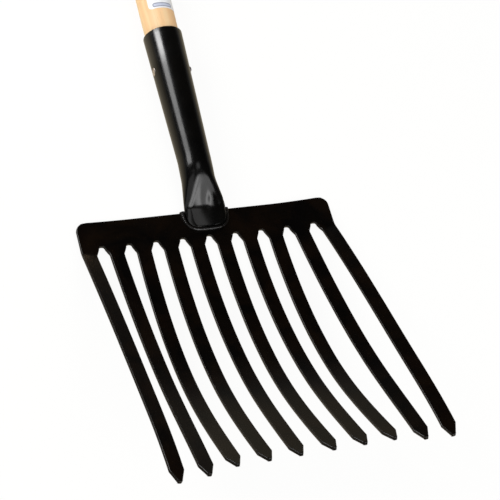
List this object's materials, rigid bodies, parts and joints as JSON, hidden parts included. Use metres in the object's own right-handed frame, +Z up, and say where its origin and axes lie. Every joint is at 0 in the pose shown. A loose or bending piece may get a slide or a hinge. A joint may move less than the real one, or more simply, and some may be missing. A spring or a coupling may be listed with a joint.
{
  "type": "gravel fork",
  "caption": "Short-handled gravel fork: pressed steel scoop of long blunt tines, welded to a tapered socket on an ash shaft with a wooden T-grip.",
  "frame": {"origin": "middle of the bounding box, on the floor that the fork lies on, hollow face up", "axes": "+Y from the tips towards the grip, +Z up out of the hollow face, +X across the head, to the right of someone who stands at the tips and looks along the shaft"},
  "size_m": [0.272, 1.1456, 0.1401],
  "materials": {
    "head_paint": "satin black paint over pressed steel",
    "weld_paint": "satin black paint over a rippled weld",
    "shaft_ash": "sanded and thinly varnished ash",
    "grip_ash": "turned and thinly varnished ash",
    "rivet_zinc": "bright zinc",
    "label_paper": "smooth white, bare"
  },
  "bodies": {
    "root": {"fork_head": "head_paint", "socket": "head_paint", "face_weld_bead": "weld_paint", "rear_weld_bead": "weld_paint", "shaft": "shaft_ash", "socket_rivet": "rivet_zinc", "shaft_label": "label_paper", "grip_bar": "grip_ash", "grip_wedge": "shaft_ash"}
  },
  "joints": []
}
